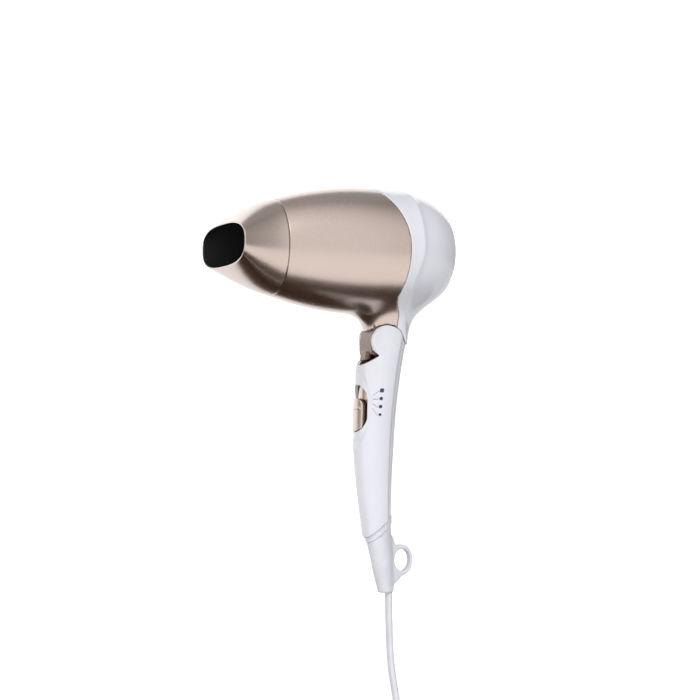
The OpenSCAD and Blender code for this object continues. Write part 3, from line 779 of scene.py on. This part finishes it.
def tongue_field(points):
    """Knuckle block between the cheeks, with a narrower lip at its front."""
    x, y, z = points.T
    knuckle = np.hypot(x - PIVOT_X, z - PIVOT_Z) - KNUCKLE_R
    side = smooth_min(-outline_distance(TONGUE, x, z), knuckle, 2.0)
    block = smooth_max(side, np.abs(y) - TONGUE_W, 1.2)
    lip = smooth_max(-outline_distance(TONGUE_LIP, x, z), np.abs(y) - LIP_W, 1.0)
    return smooth_min(block, lip, 1.0)


def make_tongue(painted_shade_champagne):
    # Painted shade: the tongue between the cheeks takes the darker copy of the champagne lacquer.
    tongue = solid_object("neck_tongue", tongue_field, (-11, -11, 46), (13, 11, 80), 0.6, [painted_shade_champagne])
    place_piece(tongue, "head", "champagne_paint")


def mouth_ring(t, inset, sides=120):
    """Cross-section of the nozzle; t is 0 at the barrel and 1 at the mouth."""
    base = side_r(np.array(FRONT_X))
    w = base + (MOUTH_W - base) * max(t, 0) ** 1.5 - inset
    h = base - 5.6 * t - (base - 5.6 - MOUTH_H) * t * t - inset
    e = 2 / (2 + 0.8 * t * t)
    a = np.linspace(0, 2 * math.pi, sides, endpoint=False) + 0.01
    y = w * np.sign(np.cos(a)) * np.abs(np.cos(a)) ** e
    z = AXIS_Z + h * np.sign(np.sin(a)) * np.abs(np.sin(a)) ** e
    return np.stack([np.full(sides, FRONT_X - NOZZLE_L * t), y, z], 1)


def make_nozzle(gold, black):
    """Concentrator: tapering skin, rounded lip, and a black heat-proof liner inside."""
    rings = [mouth_ring(0, 0.5), mouth_ring(0.006, 0.2), mouth_ring(0.016, 0)]
    rings += [mouth_ring(t, 0) for t in np.linspace(0.03, 0.985, 44)]
    rings += [mouth_ring(0.994, 0.08), mouth_ring(1.0, 0.3), mouth_ring(1.0, 0.62),
              mouth_ring(0.992, 0.85)]
    skin = len(rings)
    rings += [mouth_ring(t, 0.9 + 0.5 * (1 - t)) for t in np.linspace(0.985, 0, 30)]
    sides = len(rings[0])
    faces = wall_faces(len(rings), sides)
    inner = [1 if (f[0] // sides) >= skin - 1 else 0 for f in faces]
    nozzle = mesh_object("nozzle_skin", np.concatenate(rings), faces, [gold, black], inner)
    soften(nozzle, 60)
    place_piece(nozzle, "nozzle", "champagne_paint", "nozzle")
    make_nozzle_neck(black)


def turned_object(name, profile, mats, sides=120):
    """Closed solid turned about the barrel axis from (station, radius) points."""
    a = np.linspace(0, 2 * math.pi, sides, endpoint=False)
    rings = [np.stack([np.full(sides, x), r * np.cos(a), AXIS_Z + r * np.sin(a)], 1)
             for x, r in profile]
    faces = wall_faces(len(rings), sides)
    obj = mesh_object(name, np.concatenate(rings), faces, mats)
    return soften(obj, 40)


def make_nozzle_neck(black):
    """Black stepped ring at the nozzle's root, on the barrel's axis."""
    profile = [(FRONT_X - 3, 22.6), (FRONT_X - 3, 25.2), (FRONT_X, 25.2),
               (FRONT_X, 23.8), (FRONT_X + 2, 23.8), (FRONT_X + 2, 22.6)]
    seat = turned_object("nozzle_seat", profile, [black])
    place_piece(seat, "nozzle", "black_nylon")


def grille_field(points):
    """Domed intake grille: lands and ribs around ring slots, with soft edges."""
    x, y, z = points.T
    h = z - AXIS_Z
    r = np.hypot(y, h)
    back = TAIL_X + 0.6 + 3.2 * (1 - (r / 21.2) ** 2)
    plate = smooth_max(x - back, back - 1.75 - x, 0.6)
    plate = smooth_max(plate, r - 21.2, 0.8)
    band = np.abs((r - 4.5) % 3.5 - 1.0) - 1.0
    band = np.where((r > 3.6) & (r < 18.6), band, 1.0)
    angle = np.arctan2(h, y)
    rib = 0.9 - np.abs(r * np.sin((angle * 3 + math.pi / 2) % math.pi - math.pi / 2) / 3)
    slot = smooth_max(band, rib, 0.5)
    rim = smooth_max(np.abs(r - 20.3) - 0.9, np.maximum(TAIL_X - 1.5 - x, x - back), 0.4)
    return np.minimum(smooth_max(plate, -slot, 0.5), rim)


def make_rear_grille(white):
    grille = solid_object("intake_grille", grille_field, (TAIL_X - 3, -22.5, AXIS_Z - 22.5),
                          (TAIL_X + 5, 22.5, AXIS_Z + 22.5), 0.45, [white])
    place_piece(grille, "head", "white_gloss", "rear_grille")


# ---- Handle ----

def spine_x(z):
    return -1.4 + np.where(z > 0, 0.0017, 0.0009) * z * z


def handle_r(z):
    return GRIP_R + np.where(z > 0, 0.045 * z - 0.0003 * z * z, 0.07 * z)


def slot_outline(points):
    """Distance outside the switch's slot; points behind the spine count as far away."""
    x, y, z = points.T
    distance = stadium_distance(y, z - SLIDER_Z, SLOT_W, SLOT_L)
    return np.where(x < spine_x(z), distance, np.maximum(distance, 5.0))


def handle_field(points):
    """Handle skin with a shallow oval dish round the slot and a soft crease behind each side."""
    x, y, z = points.T
    dx, r = x - spine_x(z), handle_r(z)
    radius = np.hypot(dx, y)
    angle = np.arctan2(np.abs(y), -dx)
    reach = (angle - math.radians(RIDGE_ANGLE)) * r
    width = np.where(reach < 0, RIDGE_FRONT, RIDGE_BACK)
    fade = smooth_step((z + 46) / 8)
    ridge = RIDGE_H * fade * np.exp(-(np.sqrt(reach ** 2 + 0.06) - 0.25) / width)
    oval = np.hypot(y / 10.8, (z - SLIDER_Z) / 23.0)
    dish = 0.45 * smooth_step((1.0 - oval) / 0.16) * (dx < 0)
    disc = np.hypot(x - PIVOT_X, z - PIVOT_Z) - CHEEK_R + 0.4
    disc = smooth_max(disc, np.abs(y) - CHEEK_FACE, 2.2)
    return smooth_min(radius - r - ridge + dish, disc, 1.6)


FORK_NOTCH = (-3.1, 51.3)
FORK_FAR = (-40.0, FORK_NOTCH[1] - 36.9 * math.tan(math.radians(FORK_SLOPE)))


def fork_outline(points):
    """Side outline of the fork; the far cheek's front edge is set back behind the tongue."""
    x, y, z = points.T
    keep = [(-40, -90), FORK_FAR, FORK_NOTCH, (5.6, 67.8),
            (8.9, 66), (11.2, 62.6), (13.4, 59), (19.4, 57), (40, 57), (40, -90)]
    disc = CHEEK_R - np.hypot(x - PIVOT_X, z - PIVOT_Z)
    far_keep = np.maximum(np.maximum(x - FAR_CHEEK_X, -y), FORK_NOTCH[1] - z)
    return np.minimum(np.maximum(outline_distance(keep, x, z), disc), far_keep)


def fork_gap(points):
    x, y, z = points.T
    gap = [FORK_FAR, FORK_NOTCH, (FORK_NOTCH[0], 80), (-40, 80)]
    return np.maximum(np.abs(y) - CHEEK_GAP, -outline_distance(gap, x, z))


def above_tail(points):
    """Distance above the slanted lower edge of the handle."""
    x, _, z = points.T
    slope = math.radians(TAIL_SLOPE)
    return (z - TAIL_Z) * math.cos(slope) - x * math.sin(slope)


def around_spine(points):
    """Distance along the skin from the split between the front and rear shells."""
    x, y, z = points.T
    angle = np.arctan2(np.abs(y), -(x - spine_x(z)))
    return (math.radians(SPLIT_ANGLE) - angle) * handle_r(z)


def screw_recess(points):
    x, y, z = points.T
    holes = np.minimum(*[np.hypot(y, z - screw_z) for screw_z in SCREW_ZS]) - SCREW_HOLE_R
    return np.where(x > spine_x(z), holes, np.maximum(holes, 5.0))


def cheek_wall(points):
    return SHELL + 1.3 * smooth_step((points[:, 2] - 48) / 5)


def make_handle(white):
    low, high = (-20, -16, -64), (28, 16, 72)
    front_cuts = [lambda p: around_spine(p) - 0.08, above_tail, fork_outline, fork_gap, slot_outline]
    front = shell_object("handle_front_skin", handle_field, low, high, 0.75, front_cuts,
                         cheek_wall, 0.4, [white])
    place_piece(front, "handle", "white_gloss", "handle_front")
    back_cuts = [lambda p: -around_spine(p) - 0.08, above_tail, fork_outline, screw_recess]
    back = shell_object("handle_back_skin", handle_field, low, high, 0.75, back_cuts,
                        SHELL, 0.4, [white])
    place_piece(back, "handle", "white_gloss", "handle_back")


# ---- Switch ----

def slider_field(points):
    """Curved shield under the slot, thumb piece in the slot and a fine ridge across it."""
    x, y, z = points.T
    dx = x - spine_x(z)
    radius = np.hypot(dx, y)
    r = handle_r(z)
    top = r - SHELL - SHIELD_GAP
    shield = np.maximum(np.abs(radius - top + 0.7) - 0.7, np.abs(z - SLIDER_Z) - SLOT_L / 2 - 2)
    shield = np.maximum(shield, np.abs(y) - 8.9)
    thumb_l = SLOT_L - SLOT_TRAVEL - 0.6
    centre = SLIDER_Z - (SLOT_L - thumb_l) / 2 + 0.3
    outline = smooth_max(np.abs(y) - (SLOT_W - 4.1) / 2, np.abs(z - centre) - thumb_l / 2, 5.0)
    thumb = smooth_max(radius - r + 0.05, outline, 0.5)
    thumb = np.maximum(thumb, top - 1 - radius)
    ridge = smooth_max(np.abs(z - SLIDER_Z) - 0.5, radius - r - 0.25, 0.4)
    ridge = np.maximum(smooth_max(ridge, np.abs(y) - 5.0, 0.8), top - 1 - radius)
    body = np.minimum(shield, smooth_min(thumb, ridge, 0.5))
    return np.maximum(body, dx + 3.0)


def make_slider(gold, shade):
    """The thumb piece's walls and the shield beside it, down in the slot, get painted shade: a darker
    copy of the lacquer.
    """
    slider = solid_object("thumb_slider", slider_field, (-16, -10, 6), (-2, 10, 39), 0.4, [gold, shade])
    for face in slider.data.polygons:
        x, y, z = (v / MM for v in face.center)
        depth = float(handle_r(z)) - math.hypot(x - float(spine_x(z)), y)
        # Painted shade: faces sunk more than 0.45 mm below the skin, low in the slot, take the darker
        # material.
        if depth > 0.45 and z < SLIDER_Z + 5:
            face.material_index = 1
    place_piece(slider, "slider", "champagne_trim", "switch_slider")


MARK_Z = (32.3, 27.85, 23.4, 18.95)
MARK_ANGLE = 80.0


def on_handle(angle, z, lift=0.06):
    """Point on the handle's near side, at an angle from its front."""
    reach = math.radians(RIDGE_ANGLE - angle) * handle_r(z)
    r = handle_r(z) + lift + RIDGE_H * math.exp(-reach / RIDGE_FRONT)
    a = math.radians(angle)
    return (float(spine_x(z) - r * math.cos(a)), float(-r * math.sin(a)), z)


def mark_patch(centre, half_a, half_z, power, count=20):
    """Small printed patch: centre angle and height, half sizes in mm, and squareness."""
    angle, z = centre
    per_mm = math.degrees(1 / float(handle_r(z)))
    points = [on_handle(angle, z)]
    for t in np.linspace(0, 2 * math.pi, count, endpoint=False):
        u = math.copysign(abs(math.cos(t)) ** power, math.cos(t))
        v = math.copysign(abs(math.sin(t)) ** power, math.sin(t))
        points.append(on_handle(angle + half_a * per_mm * u, z + half_z * v))
    return points, [(0, 1 + i, 1 + (i + 1) % count) for i in range(count)]


def leader_strip(start, end, half_width):
    """Fine printed line between two (angle, height) places."""
    points, faces = [], []
    steps = 8
    for k in range(steps + 1):
        t = k / steps
        angle = start[0] + (end[0] - start[0]) * t
        z = start[1] + (end[1] - start[1]) * t
        points += [on_handle(angle, z - half_width), on_handle(angle, z + half_width)]
    for k in range(steps):
        faces.append((2 * k, 2 * k + 1, 2 * k + 3, 2 * k + 2))
    return points, faces


def join_parts(parts):
    points, faces, groups = [], [], []
    for group, (some_points, some_faces) in parts:
        shift = len(points)
        points += some_points
        faces += [tuple(i + shift for i in f) for f in some_faces]
        groups += [group] * len(some_faces)
    return points, faces, groups


def make_marks(ink, pale_ink):
    """Four position marks beside the slot, each with a fine leader line."""
    sizes = ((1.15, 1.15, 0.45), (1.0, 1.0, 1.0), (1.0, 1.0, 1.0), (0.85, 0.8, 1.0))
    leader_ends = (29.6, 27.4, 25.0, 22.6)
    parts = []
    for z, (a, b, power), end in zip(MARK_Z, sizes, leader_ends):
        parts.append((0, mark_patch((MARK_ANGLE, z), a, b, power)))
        parts.append((1, leader_strip((MARK_ANGLE - 7, z - 0.3), (MARK_ANGLE - 21, end), 0.2)))
    points, faces, groups = join_parts(parts)
    marks = mesh_object("position_marks", np.array(points), faces, [ink, pale_ink], groups)
    place_piece(marks, "handle", "mark_print", "switch_marks")


# ---- Strain relief and hang loop ----

LOOP_WEB = [(4, -48), (9.6, -48.6), (11.2, -52.6), (13.6, -55.4), (16.2, -56), (16, -70), (13.4, -73.4),
            (10.6, -75.4), (9.4, -78), (5, -78)]
LOOP_X = 15.6
LOOP_Z = -62.0
LOOP_OUTER = (6.4, 8.5)
LOOP_HOLE = (4.7, 6.0)


def oval_distance(a, b, half_a, half_b):
    return (np.hypot(a / half_a, b / half_b) - 1) * min(half_a, half_b)


def relief_field(points):
    """Tapering sleeve with a slanted collar, a web and a hang loop."""
    x, y, z = points.T
    heights = [-84, RELIEF_END_Z, -70.8, -59.4, -53, -40]
    centre = np.interp(z, heights, [6.8, 6.2, 4.7, 3.3, 2.3, 1.1])
    radius = np.interp(z, heights, [3.8, 4.2, 5.3, 6.3, 6.9, 7.4])
    step = above_tail(points) + 3.4
    radius = radius + 0.6 * smooth_step(step / 0.5 + 0.5)
    sleeve = np.hypot(x - centre, y) - radius
    sleeve = smooth_max(sleeve, RELIEF_END_Z - z, 1.2)
    sleeve = smooth_max(sleeve, above_tail(points) + 0.08, 0.5)
    around = oval_distance(x - LOOP_X, z - LOOP_Z, *LOOP_OUTER)
    web = smooth_min(-outline_distance(LOOP_WEB, x, z), around, 1.5)
    plate = smooth_max(web, np.abs(y) - 2.5, 1.1)
    whole = smooth_min(sleeve, plate, 1.6)
    hole = oval_distance(x - LOOP_X, z - LOOP_Z, *LOOP_HOLE)
    return smooth_max(whole, -hole, 1.3)


def make_relief(mat):
    relief = solid_object("strain_relief_sleeve", relief_field, (-8, -9, -82), (24, 9, -36), 0.55, [mat])
    place_piece(relief, "handle", "white_matte", "strain_relief")


# ---- CAD nodes that stay ----

def finish_cad_nodes(finishes):
    """Gives each CAD node that still shows its own procedural material."""
    for material, names in finishes:
        for name in names:
            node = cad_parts[name]
            node.data.materials.clear()
            node.data.materials.append(material)


def main():
    gold = champagne_material("champagne_lacquer", (0.58, 0.475, 0.415))
    # Darker copy of the champagne lacquer: painted shade for the tongue between the cheeks and for the
    # switch slot's recess.
    painted_shade_champagne = champagne_material("painted_shade_lacquer", (0.15, 0.10, 0.08))
    white = white_material()
    soft_white = plastic_material("white_satin_plastic", (0.82, 0.82, 0.86), 0.42, 1800, 0.04)
    black = plastic_material("black_nylon", (0.005, 0.005, 0.0055), 0.95)
    sheath = plastic_material("white_pvc_sheath", (0.82, 0.82, 0.86), 0.45, 1500, 0.05)
    strap = plastic_material("black_strap_rubber", (0.02, 0.02, 0.022), 0.7, 1800, 0.2)
    ink = plastic_material("grey_print", (0.045, 0.05, 0.07), 0.5)
    pale_ink = plastic_material("pale_print", (0.36, 0.37, 0.42), 0.5)
    plated = metal_material("zinc_plate", (0.66, 0.67, 0.69), 0.3)
    nickel = metal_material("bright_nickel", (0.80, 0.80, 0.79), 0.14, (1, 1, 0.1))

    add_camera()
    lead, path = make_lead(sheath)
    tie = make_tie(strap)
    plug = make_plug(soft_white, nickel, black)

    make_nozzle(gold, black)
    make_head_shells(gold, white)
    make_tongue(painted_shade_champagne)
    make_rear_grille(white)
    make_handle(white)
    make_slider(gold, painted_shade_champagne)
    make_marks(ink, pale_ink)
    make_relief(soft_white)
    finish_cad_nodes([
        (black, ["nozzle_collar", "outlet_grille", "fan", "switch_body"]),
        (plastic_material("grey_glass_nylon", (0.45, 0.45, 0.44), 0.5), ["motor_mount"]),
        (plastic_material("mica_sheet", (0.55, 0.48, 0.33), 0.4, 700, 0.3),
         ["heat_shield", "heater_frame"]),
        (metal_material("oxidised_wire", (0.30, 0.27, 0.25), 0.5), ["heating_coils"]),
        (plated, ["thermostat", "motor", "motor_shaft", "housing_screws", "detent_spring", "detent_balls",
                  "hinge_pin", "handle_screws", "clamp_screws"]),
        (plastic_material("glazed_ceramic", (0.80, 0.80, 0.75), 0.2), ["thermal_fuse"]),
        (screen_material(), ["intake_screen"]),
        (plastic_material("red_silicone", (0.42, 0.03, 0.02), 0.5), ["head_wires"]),
        (plastic_material("blue_silicone", (0.03, 0.07, 0.32), 0.5), ["handle_wires"]),
        (plastic_material("solder_mask", (0.03, 0.16, 0.06), 0.35), ["rectifier_board"]),
        (soft_white, ["cord_clamp"]),
    ])
    add_stage()
    add_lights()


main()
